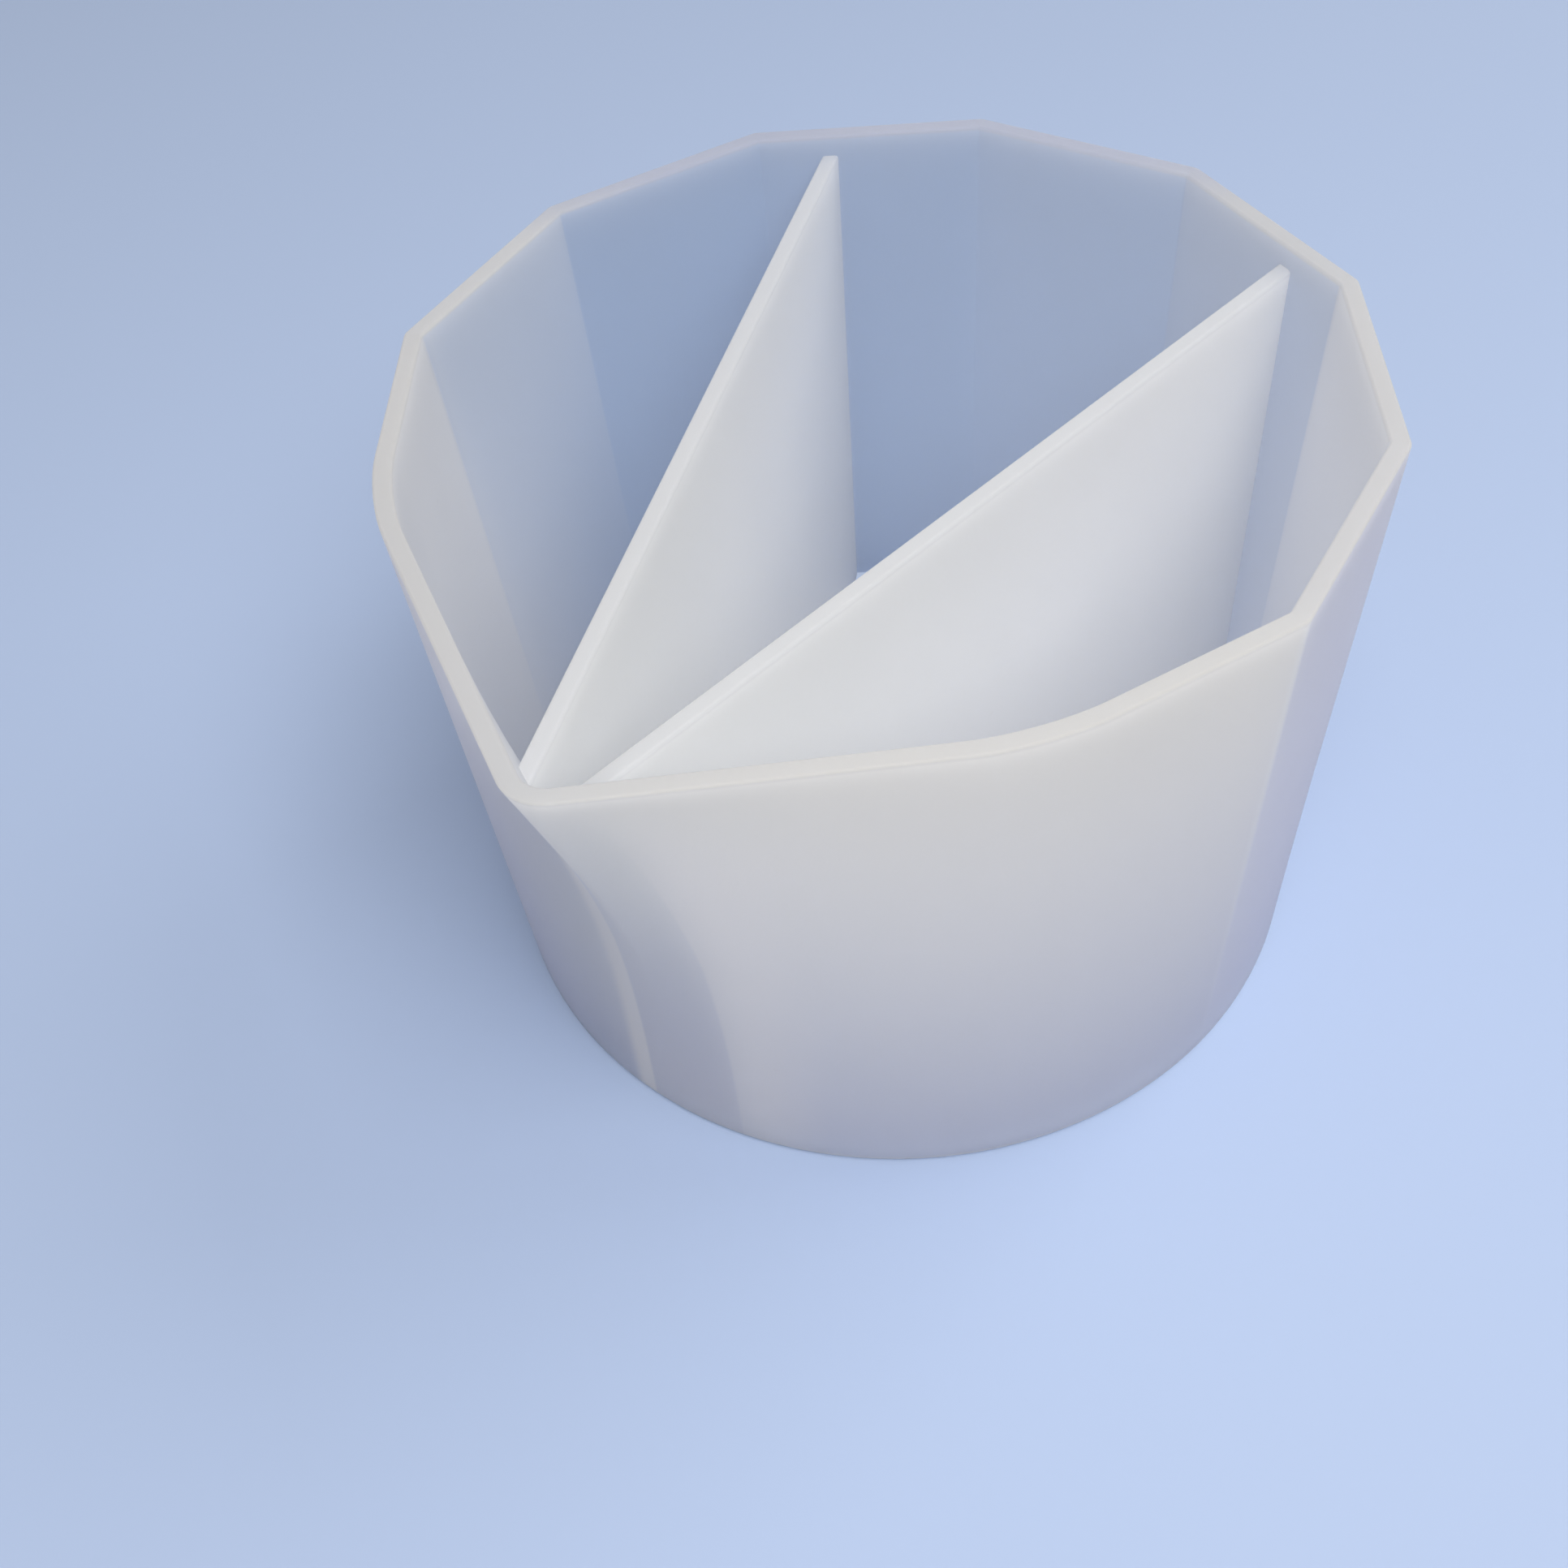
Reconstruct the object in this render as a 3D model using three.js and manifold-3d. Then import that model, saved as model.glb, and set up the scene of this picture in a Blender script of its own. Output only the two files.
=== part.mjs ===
// Split pour cup: a soft cup whose two dividers make three chambers that meet at one pour spout.
// Millimetres, +Z up. The origin is the centre of the round base on its underside. The spout points to -Y.
import * as THREE from "three";
import { mergeVertices } from "three/addons/utils/BufferGeometryUtils.js";
import Module from "manifold-3d";

const wasm = await Module();
wasm.setup();

// Cup: a round base that turns into a polygon at the rim
const HEIGHT = 57;
const BASE_DIAMETER = 77;
const BASE_EDGE_RADIUS = 0.8;
const FLOOR_THICKNESS = 2.5;
const WALL_THICKNESS = 1.6;
const RIM_ACROSS_CORNERS = 84;
const RIM_POLYGON_CORNERS = 12;
const CORNER_RADIUS = 1.2;
const SMALLEST_INNER_RADIUS = 0.6;
const LARGEST_ROUNDED_SHARE = 0.45;

// Spout: two straight flanks that take the place of the polygon's two front corners
const SPOUT_REACH = 51;
const SPOUT_TIP_RADIUS = 4;
const KEEL_EDGE_RADIUS = 1;
const KEEL_EDGE_DEPTH = 10;
const SHOULDER_RADIUS = 24;
const KEEL_START_HEIGHT = 8;
const KEEL_POWER = 2;

// Dividers: upright sheets on two planes that would meet in front of the spout
const DIVIDER_THICKNESS = 1.5;
const DIVIDER_DROP = 2;
const DIVIDER_SPREAD_DEGREES = 29.2;
const DIVIDER_MEETING_REACH = 55.2;

// Gap kept at each seam between two regions of the moulding
const SEAM = 0.3;

// Steps of the facets
const SIDE_STEPS = 8;
const FLANK_STEPS = 12;
const CORNER_STEPS = 3;
const SHOULDER_STEPS = 6;
const TIP_STEPS = 10;
const SPOUT_LEVELS = 14;
const BASE_EDGE_STEPS = 3;

// Length by which a cutting solid runs past the piece that it cuts
const OVERCUT = 1;

const polygonStep = (2 * Math.PI) / RIM_POLYGON_CORNERS;
const shoulderAngle = 1.5 * polygonStep;
const rimRadius = RIM_ACROSS_CORNERS / 2;
const baseRadius = BASE_DIAMETER / 2;
const dividerFoot = FLOOR_THICKNESS + SEAM;

// A point at a radius from the axis, at an angle that starts at the spout and runs towards +X
function polar(angle, radius) {
  return new THREE.Vector2(radius * Math.sin(angle), -radius * Math.cos(angle));
}

// A flank passes nearest to the axis at this angle and distance, and there the spout's swell begins
const tip = polar(0, SPOUT_REACH);
const flank = polar(shoulderAngle, rimRadius).sub(tip);
const flankFootAngle = Math.atan2(flank.y, flank.x);
const flankDistance = SPOUT_REACH * Math.cos(flankFootAngle);
const spoutEdgeAngle = Math.min(flankFootAngle, shoulderAngle);
const spoutEdgeLean = Math.cos(flankFootAngle - spoutEdgeAngle);

// The rounding of the spout's nose at a height: wide at the rim, then tighter down to the keel's edge
function noseRadiusAt(height) {
  const depth = THREE.MathUtils.clamp((HEIGHT - height) / KEEL_EDGE_DEPTH, 0, 1);
  return THREE.MathUtils.lerp(SPOUT_TIP_RADIUS, KEEL_EDGE_RADIUS, depth);
}

// The rim's sharp corners, anticlockwise from the spout's tip, each with its radius and the steps after it
function rimCorners(noseRadius) {
  const corners = [{ point: tip, radius: noseRadius, arcSteps: TIP_STEPS, sideSteps: FLANK_STEPS }];
  const lastCorner = RIM_POLYGON_CORNERS - 2;
  for (let k = 1; k <= lastCorner; k += 1) {
    const isShoulder = k === 1 || k === lastCorner;
    corners.push({
      point: polar((k + 0.5) * polygonStep, rimRadius),
      radius: isShoulder ? SHOULDER_RADIUS : CORNER_RADIUS,
      arcSteps: isShoulder ? SHOULDER_STEPS : CORNER_STEPS,
      sideSteps: k === lastCorner ? FLANK_STEPS : SIDE_STEPS,
    });
  }
  return corners;
}

// The inward normal of the side from one point to the next
function inwardNormal(from, to) {
  const along = to.clone().sub(from).normalize();
  return new THREE.Vector2(-along.y, along.x);
}

// The rim's outline moved inwards by an even inset, with rounded corners and the same points for any inset
function rimOutline(inset, noseRadius) {
  const corners = rimCorners(noseRadius);
  const arcs = corners.map(({ point, radius, arcSteps }, i) => {
    const before = corners.at(i - 1).point;
    const after = corners[(i + 1) % corners.length].point;
    const normalIn = inwardNormal(before, point);
    const normalOut = inwardNormal(point, after);
    const bisector = normalIn.clone().add(normalOut).divideScalar(1 + normalIn.dot(normalOut));
    const turn = Math.acos(normalIn.dot(normalOut));
    const shorterSide = Math.min(point.distanceTo(before), point.distanceTo(after));
    const largestRadius = (LARGEST_ROUNDED_SHARE * shorterSide) / Math.tan(turn / 2);
    const innerRadius = Math.min(Math.max(radius - inset, SMALLEST_INNER_RADIUS), largestRadius);
    const arcRadius = inset > 0 ? innerRadius : Math.min(radius, largestRadius);
    const centre = bisector.clone().multiplyScalar(inset + arcRadius).add(point);
    const origin = new THREE.Vector2();
    return Array.from({ length: arcSteps + 1 }, (_, s) => {
      const outward = normalIn.clone().rotateAround(origin, (turn * s) / arcSteps);
      return centre.clone().addScaledVector(outward, -arcRadius);
    });
  });
  return arcs.flatMap((arc, i) => {
    const start = arc.at(-1);
    const end = arcs[(i + 1) % arcs.length][0];
    const { sideSteps } = corners[i];
    const shares = Array.from({ length: sideSteps - 1 }, (_, s) => (s + 1) / sideSteps);
    const side = shares.map((share) => start.clone().lerp(end, share));
    return [...arc, ...side];
  });
}

// The outline at a height: straight lines draw the rim in to the round base, and the keel swells in a curve
function outlineAt(height, inset) {
  const rise = height / HEIGHT;
  const swell = Math.max(0, (height - KEEL_START_HEIGHT) / (HEIGHT - KEEL_START_HEIGHT)) ** KEEL_POWER;
  const roundRadius = baseRadius - inset;
  const edgeRadius = (flankDistance - inset) / spoutEdgeLean;
  return rimOutline(inset, noseRadiusAt(height)).map((point) => {
    const fromSpout = Math.abs(Math.atan2(point.x, -point.y));
    const reach = point.length();
    const plainReach = fromSpout < spoutEdgeAngle ? Math.min(reach, edgeRadius) : reach;
    const radius = roundRadius + (plainReach - roundRadius) * rise + (reach - plainReach) * swell;
    return point.clone().setLength(radius);
  });
}

// A closed solid through the outlines at a list of levels, each with its height and inset
function loft(levels) {
  const rings = levels.map(({ height, inset }) => outlineAt(height, inset));
  const count = rings[0].length;
  const positions = [];
  rings.forEach((ring, level) => ring.forEach((p) => positions.push(p.x, p.y, levels[level].height)));
  positions.push(0, 0, levels[0].height);
  positions.push(0, 0, levels.at(-1).height);
  const bottomCentre = rings.length * count;
  const topCentre = bottomCentre + 1;
  const topRing = (rings.length - 1) * count;
  const index = [];
  for (let j = 0; j < count; j += 1) {
    const next = (j + 1) % count;
    for (let level = 0; level < rings.length - 1; level += 1) {
      const low = level * count;
      const high = low + count;
      index.push(low + j, low + next, high + next);
      index.push(low + j, high + next, high + j);
    }
    index.push(bottomCentre, next, j);
    index.push(topCentre, topRing + j, topRing + next);
  }
  const geometry = new THREE.BufferGeometry();
  geometry.setAttribute("position", new THREE.Float32BufferAttribute(positions, 3));
  geometry.setIndex(index);
  return solidOf(geometry);
}

// Even levels between two heights, all with one inset
function evenLevels(from, to, steps, inset) {
  return Array.from({ length: steps + 1 }, (_, s) => ({ height: from + ((to - from) * s) / steps, inset }));
}

// A closed geometry as a solid that can be cut and joined
function solidOf(geometry) {
  const bare = geometry.clone();
  bare.deleteAttribute("normal");
  bare.deleteAttribute("uv");
  const merged = mergeVertices(bare);
  return new wasm.Manifold(
    new wasm.Mesh({
      numProp: 3,
      vertProperties: new Float32Array(merged.attributes.position.array),
      triVerts: new Uint32Array(merged.index.array),
    }),
  );
}

// A finished piece, in the milky silicone of the whole cup
function piece(name, solid) {
  const { vertProperties, triVerts } = solid.getMesh();
  const geometry = new THREE.BufferGeometry();
  geometry.setAttribute("position", new THREE.BufferAttribute(vertProperties, 3));
  geometry.setIndex(new THREE.BufferAttribute(triVerts, 1));
  geometry.computeVertexNormals();
  const silicone = new THREE.MeshStandardMaterial({ color: 0xd4d6dc, roughness: 0.45, metalness: 0 });
  const mesh = new THREE.Mesh(geometry, silicone);
  mesh.name = name;
  return mesh;
}

// An upright wedge that holds the spout, with its two faces moved inwards by a gap
function spoutWedge(gap) {
  const depth = 2 * SPOUT_REACH;
  const apex = -gap / Math.sin(spoutEdgeAngle);
  const halfWidth = (depth + apex) * Math.tan(spoutEdgeAngle);
  const outline = new THREE.Shape();
  outline.moveTo(0, apex);
  outline.lineTo(-halfWidth, -depth);
  outline.lineTo(halfWidth, -depth);
  outline.closePath();
  const prism = new THREE.ExtrudeGeometry(outline, { depth: HEIGHT + 2 * OVERCUT, bevelEnabled: false });
  prism.translate(0, 0, -OVERCUT);
  return solidOf(prism);
}

// Levels of the softened edge that the cup stands on, from the underside up
function baseEdgeLevels() {
  return Array.from({ length: BASE_EDGE_STEPS }, (_, s) => {
    const angle = (s / BASE_EDGE_STEPS) * (Math.PI / 2);
    return {
      height: BASE_EDGE_RADIUS * (1 - Math.cos(angle)),
      inset: BASE_EDGE_RADIUS * (1 - Math.sin(angle)),
    };
  });
}

// A band of the wall from the underside to the rim, hollow inside
function wallBand(steps) {
  const outside = loft([...baseEdgeLevels(), ...evenLevels(BASE_EDGE_RADIUS, HEIGHT, steps, 0)]);
  const inside = loft(evenLevels(-OVERCUT, HEIGHT + OVERCUT, steps, WALL_THICKNESS));
  return outside.subtract(inside);
}

// Floor: a round disc across the foot of the wall, flush with the underside
function baseFloor() {
  return piece("base_floor", loft(evenLevels(0, FLOOR_THICKNESS, 1, WALL_THICKNESS + SEAM)));
}

// Side wall: flat at the rim and round at the base, open where the spout stands
function sideWall() {
  return piece("side_wall", wallBand(1).subtract(spoutWedge(0)));
}

// Spout: the two flanks and the keel that curves out under the tip
function pourSpout() {
  return piece("pour_spout", wallBand(SPOUT_LEVELS).intersect(spoutWedge(SEAM)));
}

// Divider: an upright sheet trimmed to the inside of the cup, on the +X side or the -X side
function divider(name, side) {
  const top = HEIGHT - DIVIDER_DROP;
  const inside = loft(evenLevels(dividerFoot, top, SPOUT_LEVELS, WALL_THICKNESS + SEAM));
  const length = 2 * DIVIDER_MEETING_REACH;
  const sheet = new THREE.BoxGeometry(DIVIDER_THICKNESS, length, 2 * HEIGHT);
  sheet.translate(0, length / 2, 0);
  sheet.rotateZ(-side * THREE.MathUtils.degToRad(DIVIDER_SPREAD_DEGREES / 2));
  sheet.translate(0, -DIVIDER_MEETING_REACH, HEIGHT / 2);
  return piece(name, inside.intersect(solidOf(sheet)));
}

const cup = new THREE.Group();
cup.name = "split_pour_cup";
cup.add(baseFloor());
cup.add(sideWall());
cup.add(pourSpout());
cup.add(divider("left_divider", -1));
cup.add(divider("right_divider", 1));

export default cup;
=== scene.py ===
import math

import bmesh
import bpy
from mathutils import Matrix, Vector
from mathutils.bvhtree import BVHTree


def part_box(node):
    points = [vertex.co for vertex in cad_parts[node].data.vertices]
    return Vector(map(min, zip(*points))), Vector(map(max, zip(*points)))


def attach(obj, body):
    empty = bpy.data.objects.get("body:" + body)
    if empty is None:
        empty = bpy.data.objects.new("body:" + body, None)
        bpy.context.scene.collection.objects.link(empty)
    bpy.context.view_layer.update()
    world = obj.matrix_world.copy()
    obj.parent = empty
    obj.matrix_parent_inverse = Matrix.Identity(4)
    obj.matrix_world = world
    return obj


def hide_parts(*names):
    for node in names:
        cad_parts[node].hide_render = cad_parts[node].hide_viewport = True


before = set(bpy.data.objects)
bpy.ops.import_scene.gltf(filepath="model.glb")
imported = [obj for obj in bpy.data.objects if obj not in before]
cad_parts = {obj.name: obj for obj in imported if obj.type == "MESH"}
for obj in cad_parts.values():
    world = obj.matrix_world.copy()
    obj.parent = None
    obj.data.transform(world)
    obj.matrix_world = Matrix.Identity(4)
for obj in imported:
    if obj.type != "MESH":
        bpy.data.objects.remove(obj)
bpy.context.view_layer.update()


# Wall and spout
# The cup's outside, cast in one shot with the rest from soft milky silicone. At the rim it is a twelve-sided
# polygon whose two front corners give way to the spout, and straight lines draw it in to a round foot.
# Below the spout's rounded tip a sharper keel runs back to the foot in a curve.
RIM_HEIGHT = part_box("side_wall")[1].z
RIM_RADIUS = 0.042
FOOT_RADIUS = 0.0385
WALL_THICKNESS = 0.0016
SHOULDER_TURN = math.radians(45)
FACET_TURN = math.radians(30)
CORNER_COUNT = 10
CORNER_RADIUS = 0.0012
INNER_CORNER_RADIUS = 0.0006
CORNER_SEGMENTS = 4
RIM_EDGE_RADIUS = 0.00025
FOOT_EDGE_RADIUS = 0.0008
FOOT_EDGE_SEGMENTS = 5
EDGE_SEGMENTS = 4
SPOUT_REACH = 0.051
SPOUT_TIP_RADIUS = 0.004
SPOUT_TIP_SEGMENTS = 20
SHOULDER_RADIUS = 0.024
SHOULDER_SEGMENTS = 8
KEEL_START = 0.008
KEEL_EDGE_RADIUS = 0.001
KEEL_EDGE_DEPTH = 0.010
LONG_EDGE = 0.01
FACET_CUTS = 12
HEIGHT_CUTS = 27
ROUND_PROFILE = 0.5
HAIRLINE = 0.00001

shoulder = RIM_RADIUS * math.sin(SHOULDER_TURN)
flank_turn = math.atan2(SPOUT_REACH - shoulder, shoulder)
flank_distance = SPOUT_REACH * math.cos(flank_turn)


def nose_reach(turn, inset, height):
    """How far the spout's rounded wedge stands out, in a direction turned away from straight ahead."""
    depth = min(1, (RIM_HEIGHT - height) / KEEL_EDGE_DEPTH)
    radius = SPOUT_TIP_RADIUS + (KEEL_EDGE_RADIUS - SPOUT_TIP_RADIUS) * depth
    if inset:
        radius = max(radius - inset, INNER_CORNER_RADIUS)
    flank = flank_distance - inset
    centre = (flank - radius) / math.cos(flank_turn)
    arc_end = math.atan2(radius * math.sin(flank_turn), centre + radius * math.cos(flank_turn))
    if abs(turn) < arc_end:
        return centre * math.cos(turn) + math.sqrt(radius**2 - (centre * math.sin(turn)) ** 2)
    return flank / math.cos(flank_turn - abs(turn))


def draw_keel(bm, inset):
    """Draws the spout's front in under the tip, so that its keel runs out in a curve."""
    foot = FOOT_RADIUS - inset
    flank = flank_distance - inset
    for v in bm.verts:
        turn = math.atan2(v.co.x, -v.co.y)
        if abs(turn) < flank_turn:
            swell = max(0, (v.co.z - KEEL_START) / (RIM_HEIGHT - KEEL_START)) ** 2
            plain = foot + (flank - foot) * v.co.z / RIM_HEIGHT
            reach = plain + (nose_reach(turn, inset, v.co.z) - flank) * swell
            v.co.xy = v.co.xy.normalized() * reach


def wall_skin(inset, corner_radius):
    """One skin of the wall and spout, from the rounded outline of the rim down to the round foot."""
    bm = bmesh.new()
    corners = [Vector((0, -SPOUT_REACH, RIM_HEIGHT))]
    for k in range(CORNER_COUNT):
        turn = SHOULDER_TURN + FACET_TURN * k
        corners.append(Vector((RIM_RADIUS * math.sin(turn), -RIM_RADIUS * math.cos(turn), RIM_HEIGHT)))
    rim = bm.faces.new([bm.verts.new(corner) for corner in corners])
    rim.normal_update()
    if inset:
        bmesh.ops.inset_region(bm, faces=[rim], thickness=inset, use_boundary=True, use_even_offset=True)
        bmesh.ops.delete(bm, geom=[f for f in bm.faces if f is not rim], context="FACES")
    tip, *others = sorted(rim.verts, key=lambda v: v.co.y)
    roundings = [(tip, SPOUT_TIP_RADIUS - inset, SPOUT_TIP_SEGMENTS)]
    roundings += [(v, SHOULDER_RADIUS, SHOULDER_SEGMENTS) for v in others[:2]]
    roundings += [(v, corner_radius, CORNER_SEGMENTS) for v in others[2:]]
    for v, radius, segments in roundings:
        tangent = radius * math.tan(v.calc_edge_angle() / 2)
        bmesh.ops.bevel(bm, geom=[v], offset=tangent, offset_type="OFFSET", segments=segments,
                        profile=ROUND_PROFILE, affect="VERTICES", material=-1)
    straights = [e for e in bm.edges if e.calc_length() > LONG_EDGE]
    bmesh.ops.subdivide_edges(bm, edges=straights, cuts=FACET_CUTS)
    bmesh.ops.delete(bm, geom=bm.faces[:], context="FACES_ONLY")
    drawn = bmesh.ops.extrude_edge_only(bm, edges=bm.edges[:])["geom"]
    for v in drawn:
        if isinstance(v, bmesh.types.BMVert):
            v.co = v.co.xy.normalized().to_3d() * (FOOT_RADIUS - inset)
    uprights = [e for e in bm.edges if abs(e.verts[0].co.z - e.verts[1].co.z) > RIM_HEIGHT / 2]
    bmesh.ops.subdivide_edges(bm, edges=uprights, cuts=HEIGHT_CUTS, use_grid_fill=True)
    draw_keel(bm, inset)
    return bm


LEVEL_TOLERANCE = 1e-6
SHARP_ANGLE = 1.0


def edges_at(bm, height):
    """The edges that lie at one height."""
    return [e for e in bm.edges if all(abs(v.co.z - height) < LEVEL_TOLERANCE for v in e.verts)]


def sharp_edges(edges):
    """Those of the edges where two faces meet at a marked angle."""
    return [e for e in edges if e.is_manifold and e.calc_face_angle() > SHARP_ANGLE]


def round_edges(bm, edges, radius, segments):
    """Rounds edges off over a radius."""
    bmesh.ops.bevel(bm, geom=edges, offset=radius, segments=segments,
                    profile=ROUND_PROFILE, affect="EDGES", material=-1)


# The inner skin is held a little high while its rim and foot are bridged to those of the outer skin
cup_wall = wall_skin(0, CORNER_RADIUS)
inner_skin = wall_skin(WALL_THICKNESS, INNER_CORNER_RADIUS)
bmesh.ops.translate(inner_skin, verts=inner_skin.verts[:], vec=(0, 0, WALL_THICKNESS))
inner_mesh = bpy.data.meshes.new("inner_skin")
inner_skin.to_mesh(inner_mesh)
inner_skin.free()
outer_count = len(cup_wall.verts)
cup_wall.from_mesh(inner_mesh)
bpy.data.meshes.remove(inner_mesh)
open_edges = [e for e in cup_wall.edges if e.is_boundary]
for at_rim in (True, False):
    loops = [e for e in open_edges if (e.verts[0].co.z > RIM_HEIGHT / 2) == at_rim]
    bmesh.ops.bridge_loops(cup_wall, edges=loops)
bmesh.ops.translate(cup_wall, verts=cup_wall.verts[outer_count:], vec=(0, 0, -WALL_THICKNESS))
bmesh.ops.recalc_face_normals(cup_wall, faces=cup_wall.faces[:])
inner_wall = BVHTree.FromBMesh(cup_wall)
round_edges(cup_wall, sharp_edges(edges_at(cup_wall, RIM_HEIGHT)), RIM_EDGE_RADIUS, EDGE_SEGMENTS)
foot_edges = sharp_edges(edges_at(cup_wall, 0))
foot_edges = [e for e in foot_edges if e.verts[0].co.length > FOOT_RADIUS - HAIRLINE]
round_edges(cup_wall, foot_edges, FOOT_EDGE_RADIUS, FOOT_EDGE_SEGMENTS)

SOFT_ANGLE = 0.9


def add_piece(name, bm, material, *nodes):
    """Puts a piece of the moulding in the scene, with soft shading, to stand for its solids."""
    for f in bm.faces:
        f.smooth = True
    for e in bm.edges:
        e.smooth = e.is_manifold and e.calc_face_angle() < SOFT_ANGLE
    mesh = bpy.data.meshes.new(name)
    bm.to_mesh(mesh)
    bm.free()
    mesh.materials.append(material)
    piece = bpy.data.objects.new(name, mesh)
    bpy.context.scene.collection.objects.link(piece)
    even = piece.modifiers.new("even_shading", "WEIGHTED_NORMAL")
    even.keep_sharp = True
    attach(piece, "root")
    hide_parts(*nodes)


def connect(tree, socket, value):
    """Gives a socket a value, or a link from another node."""
    if isinstance(value, bpy.types.NodeSocket):
        tree.links.new(value, socket)
    else:
        socket.default_value = value


def place(tree, kind, inputs, **options):
    """Adds a node, sets its options, and gives each input a value or a link."""
    node = tree.nodes.new(kind)
    for option, value in options.items():
        setattr(node, option, value)
    for socket, value in inputs.items():
        connect(tree, node.inputs[socket], value)
    return node


def maths(tree, operation, *values):
    """The result of one sum on values or links."""
    return place(tree, "ShaderNodeMath", dict(enumerate(values)), operation=operation).outputs[0]


def along(tree, vector, direction):
    """How far a vector points or lies along a direction."""
    node = place(tree, "ShaderNodeVectorMath", {0: vector, 1: direction}, operation="DOT_PRODUCT")
    return node.outputs["Value"]


# The sockets of the Mix node that stand for colours, among those of its other kinds of data
MIX_SHARE, MIX_LOW, MIX_HIGH = 0, 6, 7
MIX_RESULT = 2


def mix_colours(tree, share, low, high):
    """A blend of two colours by a share or a mask."""
    node = place(tree, "ShaderNodeMix", {}, data_type="RGBA")
    for socket, value in ((MIX_SHARE, share), (MIX_LOW, low), (MIX_HIGH, high)):
        connect(tree, node.inputs[socket], value)
    return node.outputs[MIX_RESULT]


def step_up(tree, value, start, end):
    """A soft step from 0 at the start to 1 at the end."""
    inputs = {"Value": value, "From Min": start, "From Max": end}
    return place(tree, "ShaderNodeMapRange", inputs, interpolation_type="SMOOTHSTEP").outputs["Result"]


def object_point(tree):
    """The place on the cup."""
    return place(tree, "ShaderNodeTexCoord", {}).outputs["Object"]


def split_axes(tree, point):
    """The three coordinates of a place."""
    return place(tree, "ShaderNodeSeparateXYZ", {"Vector": point}).outputs


COLOUR = "NodeSocketColor"
VALUE = "NodeSocketFloat"


def new_group(name, inputs, outputs):
    """An empty shader node group with its named sockets, and the nodes at its two ends."""
    group = bpy.data.node_groups.new(name, "ShaderNodeTree")
    for socket, kind in inputs.items():
        group.interface.new_socket(socket, in_out="INPUT", socket_type=kind)
    for socket, kind in outputs.items():
        group.interface.new_socket(socket, in_out="OUTPUT", socket_type=kind)
    return group, group.nodes.new("NodeGroupInput"), group.nodes.new("NodeGroupOutput")


def use_group(tree, group, inputs):
    """Places a node group in a material, with this material's own values."""
    return place(tree, "ShaderNodeGroup", inputs, node_tree=group).outputs


# Milky silicone: faint clouds and downward flow marks in the body, painted light and shade at its edges, and
# a satin skin with a fine grain and a few specks of dust. A span gives the start and the end of a soft step.
CLOUD_SCALE = 75
CLOUD_DEPTH = 0.06
CLOUD_BUMP = 4.0
FLOW_SCALE = 320
FLOW_STRETCH = (1, 1, 0.12)
FLOW_DEPTH = 0.02
SPECK_COLOUR = (0.55, 0.52, 0.50, 1)
SPECK_SCALE = 210
SPECK_SIZE_SPAN = (0.075, 0.03)
SPECK_PICK_SPAN = (0.86, 0.90)
SPECK_SHARE = 0.18
SMEAR_SCALE = 140
SMEAR_LOW, SMEAR_HIGH = 0.3, 0.7
SATIN_LOW, SATIN_HIGH = 0.44, 0.58
GRAIN_SCALE = 2600
BUMP_STRENGTH = 0.12
BUMP_DISTANCE = 0.0002
SILICONE_IOR = 1.41

milky_group, given, made = new_group(
    "milky_silicone",
    {"Body Colour": COLOUR, "Painted Edge Colour": COLOUR, "Edge Mask": VALUE},
    {"Colour": COLOUR, "Roughness": VALUE, "Height": VALUE},
)
tree = milky_group
point = object_point(tree)
clouds = place(
    tree, "ShaderNodeTexNoise", {"Vector": point, "Scale": CLOUD_SCALE, "Detail": 3, "Roughness": 0.55}
)
drawn_down = place(tree, "ShaderNodeMapping", {"Vector": point, "Scale": FLOW_STRETCH}).outputs["Vector"]
flow = place(tree, "ShaderNodeTexNoise", {"Vector": drawn_down, "Scale": FLOW_SCALE, "Detail": 2})
cloud_shade = maths(tree, "MULTIPLY_ADD", clouds.outputs["Fac"], CLOUD_DEPTH, 1 - CLOUD_DEPTH / 2)
flow_shade = maths(tree, "MULTIPLY_ADD", flow.outputs["Fac"], FLOW_DEPTH, 1 - FLOW_DEPTH / 2)
shade = maths(tree, "MULTIPLY", cloud_shade, flow_shade)
body = place(tree, "ShaderNodeVectorMath", {0: given.outputs["Body Colour"], 1: shade}, operation="MULTIPLY")
# Painted light and shade on the edges, in the edge colour
edge_painted = mix_colours(tree, given.outputs["Edge Mask"], body.outputs["Vector"], given.outputs["Painted Edge Colour"])
cells = place(tree, "ShaderNodeTexVoronoi", {"Vector": point, "Scale": SPECK_SCALE})
cell_pick = place(tree, "ShaderNodeSeparateColor", {"Color": cells.outputs["Color"]}).outputs["Red"]
speck_core = step_up(tree, cells.outputs["Distance"], *SPECK_SIZE_SPAN)
specks = maths(tree, "MULTIPLY", speck_core, step_up(tree, cell_pick, *SPECK_PICK_SPAN))
speckled = mix_colours(tree, maths(tree, "MULTIPLY", specks, SPECK_SHARE), edge_painted, SPECK_COLOUR)
tree.links.new(speckled, made.inputs["Colour"])
smears = place(
    tree, "ShaderNodeTexNoise", {"Vector": point, "Scale": SMEAR_SCALE, "Detail": 4, "Roughness": 0.6}
)
satin = {"Value": smears.outputs["Fac"], "From Min": SMEAR_LOW, "From Max": SMEAR_HIGH}
satin |= {"To Min": SATIN_LOW, "To Max": SATIN_HIGH}
tree.links.new(place(tree, "ShaderNodeMapRange", satin).outputs["Result"], made.inputs["Roughness"])
grain = place(tree, "ShaderNodeTexNoise", {"Vector": point, "Scale": GRAIN_SCALE, "Detail": 2})
bumps = maths(tree, "MULTIPLY_ADD", clouds.outputs["Fac"], CLOUD_BUMP, grain.outputs["Fac"])
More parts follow.
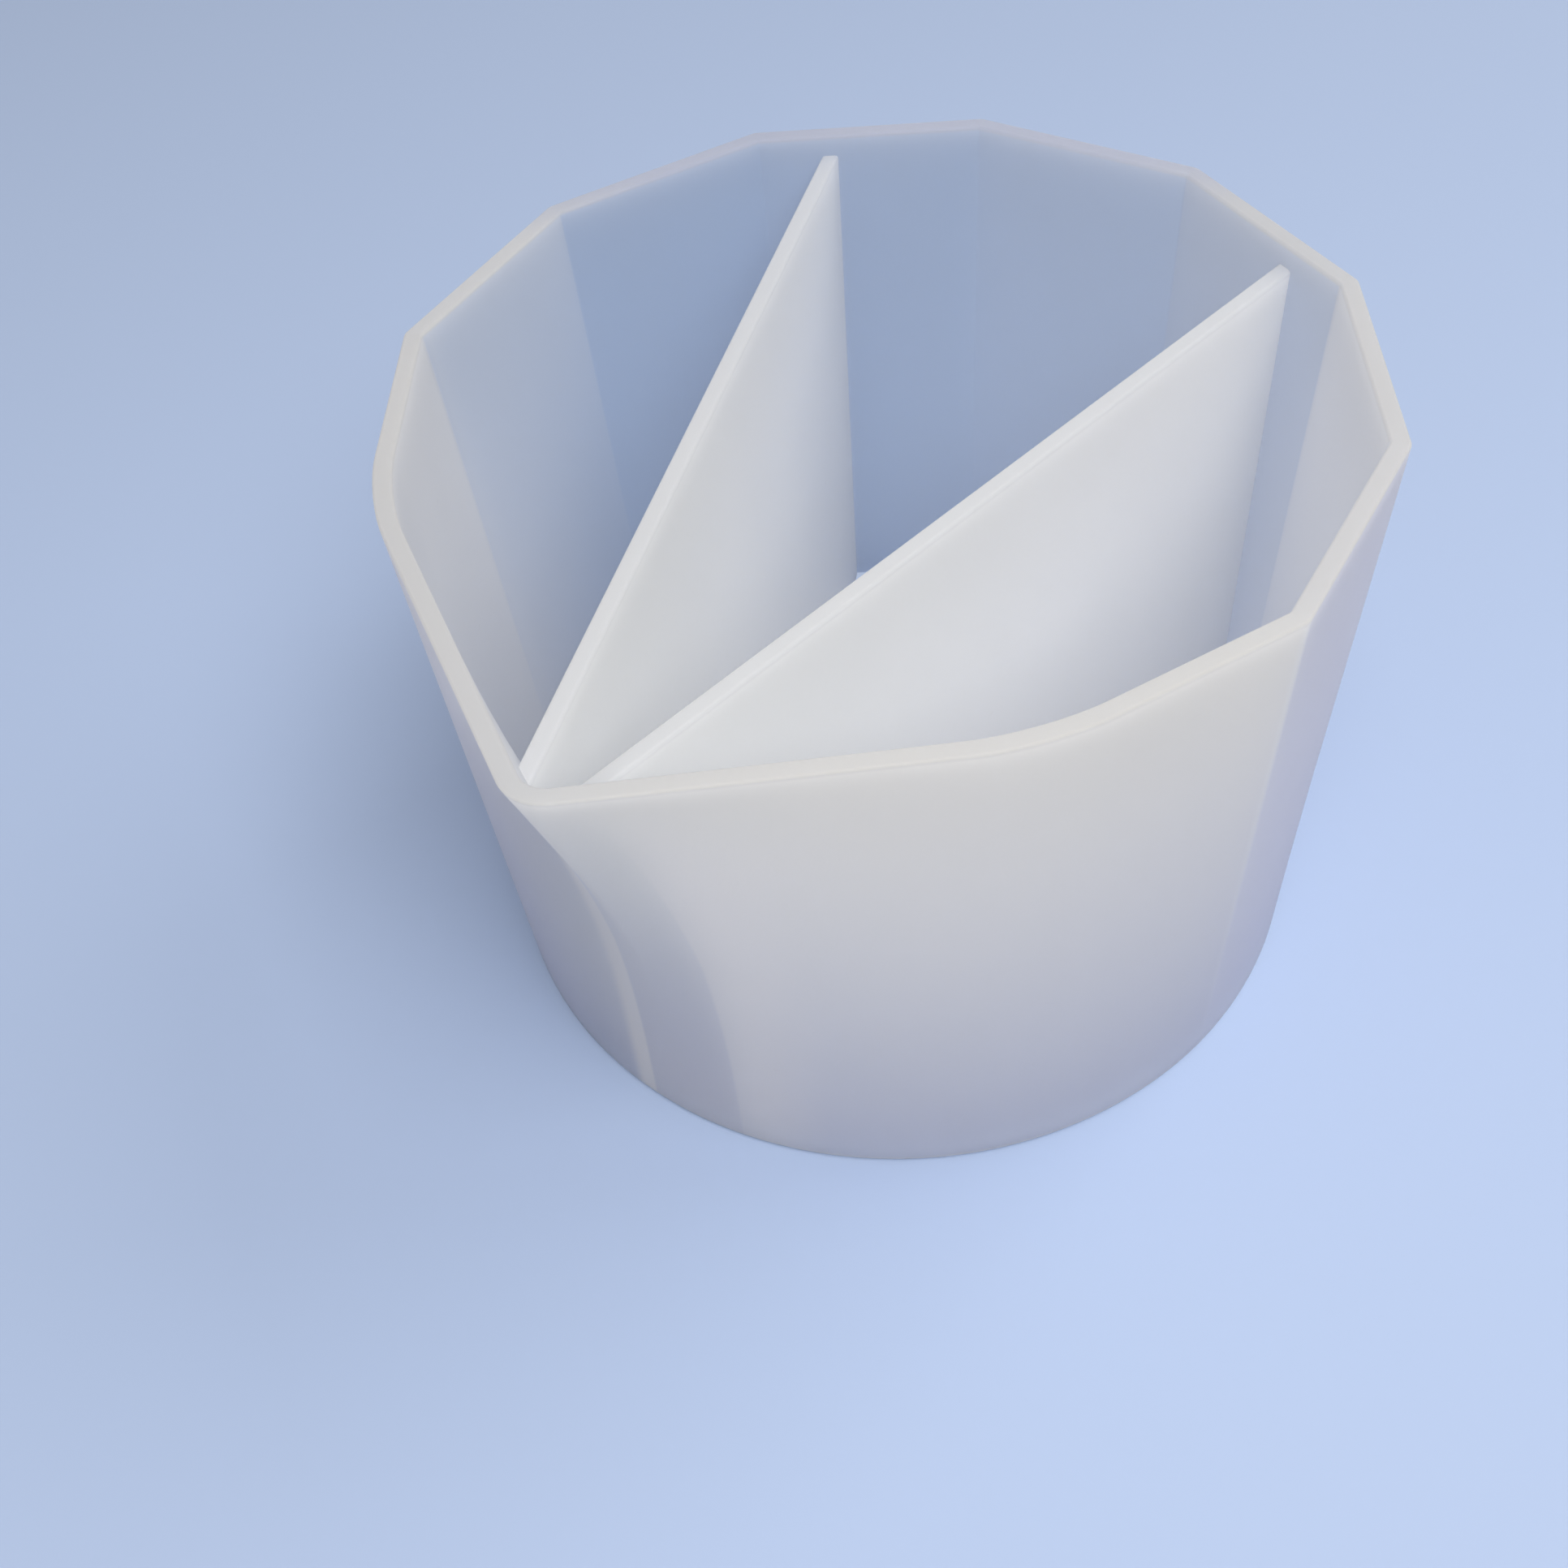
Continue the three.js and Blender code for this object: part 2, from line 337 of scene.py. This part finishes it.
tree.links.new(bumps, made.inputs["Height"])

# Edge band: a mask that rises to 1 at an edge of a set height, over a set depth
band_group, given, made = new_group("edge_band", {"Edge Height": VALUE, "Depth": VALUE}, {"Mask": VALUE})
tree = band_group
axes = split_axes(tree, object_point(tree))
start = maths(tree, "SUBTRACT", given.outputs["Edge Height"], given.outputs["Depth"])
band = step_up(tree, axes["Z"], start, given.outputs["Edge Height"])
tree.links.new(band, made.inputs["Mask"])


def new_material(name):
    """A material with its nodes, and the tree that holds them."""
    material = bpy.data.materials.new(name)
    material.use_nodes = True
    return material, material.node_tree


def finish_silicone(tree, body_colour, painted_edge_colour, edge_mask, glow_colour, glow_share):
    """Makes a material milky silicone, which sends on part of the light that falls on its other side."""
    skin = use_group(
        tree, milky_group, {"Body Colour": body_colour, "Painted Edge Colour": painted_edge_colour, "Edge Mask": edge_mask}
    )
    relief = {"Height": skin["Height"], "Strength": BUMP_STRENGTH, "Distance": BUMP_DISTANCE}
    bump = place(tree, "ShaderNodeBump", relief)
    shader = tree.nodes["Principled BSDF"]
    shader.inputs["IOR"].default_value = SILICONE_IOR
    tree.links.new(skin["Colour"], shader.inputs["Base Color"])
    tree.links.new(skin["Roughness"], shader.inputs["Roughness"])
    tree.links.new(bump.outputs["Normal"], shader.inputs["Normal"])
    glow = place(tree, "ShaderNodeBsdfTranslucent", {"Color": glow_colour})
    surface = place(
        tree, "ShaderNodeMixShader", {0: glow_share, 1: shader.outputs["BSDF"], 2: glow.outputs["BSDF"]}
    )
    tree.links.new(surface.outputs["Shader"], tree.nodes["Material Output"].inputs["Surface"])


# Wall finish with painted shade: cooler towards the foot, on the sides turned from the light and on the
# inside of the back.
# The edges of rim and foot have a painted tone of their own for the light they catch and carry, cooler at
# the back as painted shade, and the outside corners are paler, a painted highlight.
WALL_FOOT_SHADE_COLOUR = (0.45, 0.49, 0.655, 1)
WALL_RIM_COLOUR = (0.975, 0.925, 0.82, 1)
WALL_GLOW_COLOUR = (0.95, 0.94, 0.943, 1)
WALL_GLOW_SHARE = 0.62
LEVEL = (1, 1, 0)
LIT_SIDE = (0.47, -0.88, 0)
INSIDE_SPAN = (0.005, -0.005)
WALL_SHADE_COLOUR = (0.57, 0.60, 0.82, 1)
SHADE_SPAN = (0.80, 0.50)
SHADE_SHARE = 0.65
WALL_INSIDE_COLOUR = (0.905, 0.91, 0.91, 1)
INSIDE_SHARE = 0.8
WALL_CREASE_SHADE_COLOUR = (0.66, 0.69, 0.76, 1)
WALL_CORNER_HIGHLIGHT_COLOUR = (0.98, 0.98, 0.97, 1)
CORNER_IN_FACET = 0.5
BEHIND_SHOULDER_SPAN = (2.0, 2.1)
CREASE_WIDTH = 0.0008
CREASE_SHARE = 0.5
WALL_BACK_SHADE_COLOUR = (0.37, 0.50, 0.73, 1)
BACK_FACING_SPAN = (0.05, 0.75)
BACK_PLACE_SPAN = (0.0, -0.012)
WALL_EDGE_LIGHT_COLOUR = (0.70, 0.675, 0.61, 1)
WALL_EDGE_BACK_SHADE_COLOUR = (0.46, 0.48, 0.60, 1)
EDGE_BACK_SPAN = (-0.022, -0.034)
EDGE_DROP = 0.0001
RIM_BAND_DEPTH = 0.0004
FOOT_BAND_HEIGHT = 0.0003
FOOT_BAND_DEPTH = 0.0009
FOOT_BAND_SHARE = 0.9

wall_silicone, tree = new_material("wall_silicone")
point = object_point(tree)
axes = split_axes(tree, point)
height_share = maths(tree, "DIVIDE", axes["Z"], RIM_HEIGHT)
# Painted shade: the wall turns cooler and darker from the rim down to the foot
upright = mix_colours(tree, height_share, WALL_FOOT_SHADE_COLOUR, WALL_RIM_COLOUR)
facing = place(tree, "ShaderNodeNewGeometry", {}).outputs["Normal"]
level_point = place(tree, "ShaderNodeVectorMath", {0: point, 1: LEVEL}, operation="MULTIPLY")
inside = step_up(tree, along(tree, facing, level_point.outputs["Vector"]), *INSIDE_SPAN)
outside = maths(tree, "SUBTRACT", 1.0, inside)
lit = along(tree, facing, LIT_SIDE)
# Painted shade on the outside, on the sides turned from the light
turned_away = maths(tree, "MULTIPLY", step_up(tree, lit, *SHADE_SPAN), outside)
shaded = mix_colours(tree, maths(tree, "MULTIPLY", turned_away, SHADE_SHARE), upright, WALL_SHADE_COLOUR)
inner = mix_colours(tree, maths(tree, "MULTIPLY", inside, INSIDE_SHARE), shaded, WALL_INSIDE_COLOUR)

# Painted highlight along the outside corners of the polygon and painted shade in its inside creases, both
# fading out on the way down to the round foot
turn = maths(tree, "ABSOLUTE", maths(tree, "ARCTAN2", axes["X"], maths(tree, "MULTIPLY", axes["Y"], -1.0)))
facet = maths(tree, "DIVIDE", turn, FACET_TURN)
off_corner = maths(tree, "ABSOLUTE", maths(tree, "SUBTRACT", maths(tree, "FRACT", facet), CORNER_IN_FACET))
corner_distance = maths(tree, "MULTIPLY", off_corner, FACET_TURN * RIM_RADIUS)
near_corner = step_up(tree, corner_distance, CREASE_WIDTH, 0.0)
behind_shoulder = step_up(tree, facet, *BEHIND_SHOULDER_SPAN)
creases = maths(tree, "MULTIPLY", near_corner, maths(tree, "MULTIPLY", behind_shoulder, height_share))
corner_highlight_and_shade = mix_colours(tree, inside, WALL_CORNER_HIGHLIGHT_COLOUR, WALL_CREASE_SHADE_COLOUR)
corners_painted = mix_colours(tree, maths(tree, "MULTIPLY", creases, CREASE_SHARE), inner, corner_highlight_and_shade)

# Painted cool shade on the inside of the back wall, on the far side from the light
faces_light = step_up(tree, lit, *BACK_FACING_SPAN)
towards_light = along(tree, point, LIT_SIDE)
far_side = step_up(tree, towards_light, *BACK_PLACE_SPAN)
back_shade_painted = mix_colours(tree, maths(tree, "MULTIPLY", faces_light, far_side), corners_painted, WALL_BACK_SHADE_COLOUR)

# On the outside of the spout two pale strips of painted light show where the dividers run into it, wider on
# the lit flank, with a cooler zone of painted shade between them.
# The soft wall leans, so they shift sideways with the height.
DIVIDER_LEAN = math.radians(14.6)
DIVIDER_MEETING = Vector((0, -0.0552, 0))
SPOUT_SPAN = (-0.020, -0.028)
WALL_BETWEEN_SHADE_COLOUR = (0.575, 0.575, 0.675, 1)
BETWEEN_HEIGHT_SPAN = (0.85, -0.05)
WALL_JOIN_LIGHT_COLOUR = (0.97, 0.90, 0.84, 1)
JOIN_SHARE = 0.85
JOIN_LIT_SHARE = 0.45
JOIN_SHIFT = 0.05
JOIN_SHIFT_END = 0.030
JOIN_SPREAD = 0.0003
JOIN_BORDER = 0.0002
JOIN_WIDTH = 0.0027
JOIN_LIT_WIDTH = 0.009
JOIN_CORE = 0.45
JOIN_HEIGHT_SPAN = (0.056, 0.042)
MIDDLE_BORDER = 0.001

shift = maths(tree, "MULTIPLY", maths(tree, "MINIMUM", axes["Z"], JOIN_SHIFT_END), JOIN_SHIFT)
sideways = maths(tree, "SUBTRACT", axes["X"], shift)
off_middle = maths(tree, "ABSOLUTE", sideways)
reach = maths(tree, "SUBTRACT", axes["Y"], DIVIDER_MEETING.y)
join_x = maths(tree, "MULTIPLY_ADD", reach, math.tan(DIVIDER_LEAN), JOIN_SPREAD)
past_join = maths(tree, "SUBTRACT", off_middle, join_x)
in_front = step_up(tree, axes["Y"], *SPOUT_SPAN)
spout_outside = maths(tree, "MULTIPLY", in_front, outside)
between = maths(tree, "MULTIPLY", step_up(tree, past_join, JOIN_BORDER, -JOIN_BORDER), spout_outside)
stronger_below = step_up(tree, height_share, *BETWEEN_HEIGHT_SPAN)
# Painted shade between the two strips
between_shade_painted = mix_colours(tree, maths(tree, "MULTIPLY", between, stronger_below), back_shade_painted, WALL_BETWEEN_SHADE_COLOUR)
inner_border = step_up(tree, past_join, -JOIN_BORDER, JOIN_BORDER)
lit_flank = step_up(tree, sideways, -MIDDLE_BORDER, MIDDLE_BORDER)
strip_width = maths(tree, "MULTIPLY_ADD", lit_flank, JOIN_LIT_WIDTH - JOIN_WIDTH, JOIN_WIDTH)
outer_border = step_up(tree, past_join, strip_width, JOIN_WIDTH * JOIN_CORE)
strip = maths(tree, "MULTIPLY", inner_border, outer_border)
fading_above = step_up(tree, axes["Z"], *JOIN_HEIGHT_SPAN)
strips = maths(tree, "MULTIPLY", maths(tree, "MULTIPLY", strip, spout_outside), fading_above)
strip_share = maths(tree, "MULTIPLY_ADD", lit_flank, JOIN_LIT_SHARE - JOIN_SHARE, JOIN_SHARE)
# Painted light in the strips where the dividers meet the wall
body = mix_colours(tree, maths(tree, "MULTIPLY", strips, strip_share), between_shade_painted, WALL_JOIN_LIGHT_COLOUR)

# Painted light on the edges of rim and foot, turning to painted shade at the back, away from the light
rim_band = use_group(
    tree, band_group, {"Edge Height": RIM_HEIGHT - EDGE_DROP, "Depth": RIM_BAND_DEPTH}
)["Mask"]
foot_band = use_group(tree, band_group, {"Edge Height": FOOT_BAND_HEIGHT, "Depth": -FOOT_BAND_DEPTH})["Mask"]
edge_mask = maths(tree, "MAXIMUM", rim_band, maths(tree, "MULTIPLY", foot_band, FOOT_BAND_SHARE))
rim_back_shade = step_up(tree, towards_light, *EDGE_BACK_SPAN)
painted_edge_colour = mix_colours(tree, rim_back_shade, WALL_EDGE_LIGHT_COLOUR, WALL_EDGE_BACK_SHADE_COLOUR)
finish_silicone(tree, body, painted_edge_colour, edge_mask, WALL_GLOW_COLOUR, WALL_GLOW_SHARE)
add_piece("cup_wall", cup_wall, wall_silicone, "side_wall", "pour_spout")


# Floor
# The round floor that closes the cup and carries it, cast with the wall from the same silicone. Its
# underside is flat, and on the inside a small cove leads it into the wall. Its rim widens with the
# leaning wall, by a flare.
FLOOR_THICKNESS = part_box("base_floor")[1].z
FLOOR_FLARE = 0.00020
FLOOR_STEPS = 128
FLOOR_COVE = 0.0012
COVE_FLARE = 0.00027
COVE_FILL = 0.98
COVE_SEGMENTS = 6
MERGE_DISTANCE = 1e-7
FLOOR_COLOUR = (0.97, 0.97, 0.97, 1)
FLOOR_BACK_SHADE_COLOUR = (0.42, 0.52, 0.72, 1)
FLOOR_BACK_SPAN = (0.018, 0.033)
FLOOR_UPPER_SPAN = (0.001, 0.002)
FLOOR_COVE_SHADE_COLOUR = (0.78, 0.82, 0.88, 1)
FLOOR_COVE_SHARE = 0.7
FLOOR_GLOW_COLOUR = (0.93, 0.935, 0.95, 1)
FLOOR_GLOW_SHARE = 0.2

foot_inside = FOOT_RADIUS - WALL_THICKNESS
cove_top = FLOOR_THICKNESS + FLOOR_COVE
profile_points = [
    (0, 0),
    (foot_inside - HAIRLINE, 0),
    (foot_inside + COVE_FLARE, cove_top),
    (foot_inside + FLOOR_FLARE, FLOOR_THICKNESS),
    (0, FLOOR_THICKNESS),
]
cup_floor = bmesh.new()
profile = [cup_floor.verts.new((radius, 0, height)) for radius, height in profile_points]
for low, high in zip(profile, profile[1:]):
    cup_floor.edges.new((low, high))
bmesh.ops.spin(cup_floor, geom=cup_floor.verts[:] + cup_floor.edges[:], cent=(0, 0, 0), axis=(0, 0, 1),
               angle=2 * math.pi, steps=FLOOR_STEPS, use_merge=True)
bmesh.ops.remove_doubles(cup_floor, verts=cup_floor.verts[:], dist=MERGE_DISTANCE)
bmesh.ops.recalc_face_normals(cup_floor, faces=cup_floor.faces[:])
cove_edges = sharp_edges(edges_at(cup_floor, FLOOR_THICKNESS))
round_edges(cup_floor, cove_edges, FLOOR_COVE * COVE_FILL, COVE_SEGMENTS)

# Floor finish: painted shade, cooler on the upper side near the back, and in the cove
floor_silicone, tree = new_material("floor_silicone")
axes = split_axes(tree, object_point(tree))
near_back = step_up(tree, axes["Y"], *FLOOR_BACK_SPAN)
upper_side = step_up(tree, axes["Z"], *FLOOR_UPPER_SPAN)
body = mix_colours(tree, maths(tree, "MULTIPLY", near_back, upper_side), FLOOR_COLOUR, FLOOR_BACK_SHADE_COLOUR)
cove_band = use_group(tree, band_group, {"Edge Height": cove_top, "Depth": FLOOR_COVE})["Mask"]
cove_mask = maths(tree, "MULTIPLY", cove_band, FLOOR_COVE_SHARE)
finish_silicone(tree, body, FLOOR_COVE_SHADE_COLOUR, cove_mask, FLOOR_GLOW_COLOUR, FLOOR_GLOW_SHARE)
add_piece("cup_floor", cup_floor, floor_silicone, "base_floor")


# Dividers
# Two upright sheets of the same casting that part the cup into three chambers. They run from the back wall
# towards the tip, end a little below the rim, and grow out of the floor and of the wall at both ends.
DIVIDER_THICKNESS = 0.0015
DIVIDER_EDGE_RADIUS = 0.0003
DIVIDER_SINK = 0.0003
DIVIDER_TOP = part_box("left_divider")[1].z
DIVIDER_MIDDLE = 0.05
DIVIDER_COLUMNS = 40
DIVIDER_ROWS = 20
GRID_HALF = 0.5
SAME_WAY = 0.99
DIVIDER_FRONT_COLOUR = (0.925, 0.93, 0.92, 1)
DIVIDER_BACK_LIGHT_COLOUR = (0.98, 0.975, 0.972, 1)
DIVIDER_BACK_SPAN = (-0.040, 0.015)
DIVIDER_TOP_SHADE_COLOUR = (0.71, 0.715, 0.73, 1)
DIVIDER_BAND_DEPTH = 0.0005
DIVIDER_GLOW_COLOUR = (0.975, 0.972, 0.967, 1)
DIVIDER_GLOW_SHARE = 0.6


def divider_sheet(side):
    """One divider, trimmed to the inside of the wall and sunk a little into it and into the floor."""
    bm = bmesh.new()
    run = Vector((side * math.sin(DIVIDER_LEAN), math.cos(DIVIDER_LEAN), 0))
    across = Vector((run.y, -run.x, 0))
    foot = FLOOR_THICKNESS - DIVIDER_SINK
    for face_side in (-1, 1):
        grid = bmesh.ops.create_grid(
            bm, x_segments=DIVIDER_COLUMNS, y_segments=DIVIDER_ROWS, size=GRID_HALF
        )["verts"]
        for v in grid:
            middle = DIVIDER_MEETING + run * DIVIDER_MIDDLE + across * (face_side * DIVIDER_THICKNESS / 2)
            middle.z = foot + (DIVIDER_TOP - foot) * (v.co.y + GRID_HALF)
            front = inner_wall.ray_cast(middle, -run)[0] - run * DIVIDER_SINK
            back = inner_wall.ray_cast(middle, run)[0] + run * DIVIDER_SINK
            v.co = front.lerp(back, v.co.x + GRID_HALF)
    bmesh.ops.bridge_loops(bm, edges=[e for e in bm.edges if e.is_boundary])
    bmesh.ops.recalc_face_normals(bm, faces=bm.faces[:])
    top_edges = sharp_edges(edges_at(bm, max(v.co.z for v in bm.verts)))
    along_top = [
        e for e in top_edges if abs((e.verts[0].co - e.verts[1].co).normalized().dot(run)) > SAME_WAY
    ]
    round_edges(bm, along_top, DIVIDER_EDGE_RADIUS, EDGE_SEGMENTS)
    return bm


# Divider finish: a little paler towards the back, painted light against the shade there, and a darker tone
# on the top edge, painted shade against the light the top catches
divider_silicone, tree = new_material("divider_silicone")
axes = split_axes(tree, object_point(tree))
towards_back = step_up(tree, axes["Y"], *DIVIDER_BACK_SPAN)
body = mix_colours(tree, towards_back, DIVIDER_FRONT_COLOUR, DIVIDER_BACK_LIGHT_COLOUR)
top_band = use_group(
    tree, band_group, {"Edge Height": DIVIDER_TOP - EDGE_DROP, "Depth": DIVIDER_BAND_DEPTH}
)["Mask"]
finish_silicone(tree, body, DIVIDER_TOP_SHADE_COLOUR, top_band, DIVIDER_GLOW_COLOUR, DIVIDER_GLOW_SHARE)
add_piece("left_divider_sheet", divider_sheet(-1), divider_silicone, "left_divider")
add_piece("right_divider_sheet", divider_sheet(1), divider_silicone, "right_divider")


# Studio
# A plain pale floor, neutral soft boxes and a pale room. The camera stands in front of the cup, to its
# right, and looks down into it.
GROUND_COLOUR = (0.41, 0.50, 0.69, 1)
GROUND_ROUGHNESS = 0.8
GROUND_RADIUS = 0.6
GROUND_SEGMENTS = 128
GROUND_GAP = 0.00005
ROOM_COLOUR = (1, 1, 1, 1)
ROOM_LIGHT = 0.25
ROOM_SHOWN = 0.80
LAMP_SIZE = 0.5
LAMP_DISTANCE = 0.8
LAMP_TARGET = Vector((0, 0, 0.03))
LIGHT_BOUNCES = 8

ground = bmesh.new()
bmesh.ops.create_circle(ground, cap_ends=True, segments=GROUND_SEGMENTS, radius=GROUND_RADIUS)
bmesh.ops.translate(ground, verts=ground.verts[:], vec=(0, 0, -GROUND_GAP))
ground_mesh = bpy.data.meshes.new("studio_floor")
ground.to_mesh(ground_mesh)
ground.free()
ground_material, tree = new_material("studio_floor")
tree.nodes["Principled BSDF"].inputs["Base Color"].default_value = GROUND_COLOUR
tree.nodes["Principled BSDF"].inputs["Roughness"].default_value = GROUND_ROUGHNESS
ground_mesh.materials.append(ground_material)
ground_piece = bpy.data.objects.new("studio_floor", ground_mesh)
bpy.context.scene.collection.objects.link(ground_piece)

# The room looks pale to the eye and in a gloss, and gives less light than it shows
world = bpy.data.worlds.new("studio")
world.use_nodes = True
tree = world.node_tree
ray = place(tree, "ShaderNodeLightPath", {}).outputs
glint = maths(tree, "MAXIMUM", ray["Is Glossy Ray"], ray["Is Transmission Ray"])
sharp_glint = maths(tree, "SUBTRACT", glint, ray["Is Diffuse Ray"])
shown = maths(tree, "MAXIMUM", ray["Is Camera Ray"], sharp_glint)
strength = place(tree, "ShaderNodeMapRange", {"Value": shown, "To Min": ROOM_LIGHT, "To Max": ROOM_SHOWN})
tree.nodes["Background"].inputs["Color"].default_value = ROOM_COLOUR
tree.links.new(strength.outputs["Result"], tree.nodes["Background"].inputs["Strength"])
bpy.context.scene.world = world


def soft_lamp(name, azimuth, elevation, power):
    """A square soft box that looks at the cup from a direction, given from +X towards +Y and up."""
    lamp = bpy.data.lights.new(name, "AREA")
    lamp.size = LAMP_SIZE
    lamp.energy = power
    turn = math.radians(azimuth)
    lift = math.radians(elevation)
    direction = Vector((math.cos(lift) * math.cos(turn), math.cos(lift) * math.sin(turn), math.sin(lift)))
    stand = direction * LAMP_DISTANCE
    aim = LAMP_TARGET - stand
    piece = bpy.data.objects.new(name, lamp)
    piece.matrix_world = Matrix.Translation(stand) @ aim.to_track_quat("-Z", "Y").to_matrix().to_4x4()
    bpy.context.scene.collection.objects.link(piece)


soft_lamp("key_softbox", azimuth=-41, elevation=59, power=5.6)
soft_lamp("side_softbox", azimuth=52, elevation=48, power=2.0)

CAMERA_EYE = Vector((0.063871, -0.108739, 0.15105))
CAMERA_TARGET = Vector((0.000649, -0.019977, 0.0285))
CAMERA_ROLL = math.radians(-6.388)
CAMERA_SENSOR = 36
CAMERA_LENS = 43.49
CAMERA_NEAR = 0.01
back = (CAMERA_EYE - CAMERA_TARGET).normalized()
right = Vector((0, 0, 1)).cross(back).normalized()
turned_right = Matrix.Rotation(CAMERA_ROLL, 3, back) @ right
camera = bpy.data.cameras.new("photo_camera")
camera.sensor_width = CAMERA_SENSOR
camera.lens = CAMERA_LENS
camera.clip_start = CAMERA_NEAR
camera_piece = bpy.data.objects.new("photo_camera", camera)
camera_stand = Matrix((turned_right, back.cross(turned_right), back)).transposed().to_4x4()
camera_stand.translation = CAMERA_EYE
camera_piece.matrix_world = camera_stand
bpy.context.scene.collection.objects.link(camera_piece)
bpy.context.scene.camera = camera_piece
bpy.context.scene.view_settings.view_transform = "Standard"
bpy.context.scene.cycles.diffuse_bounces = LIGHT_BOUNCES
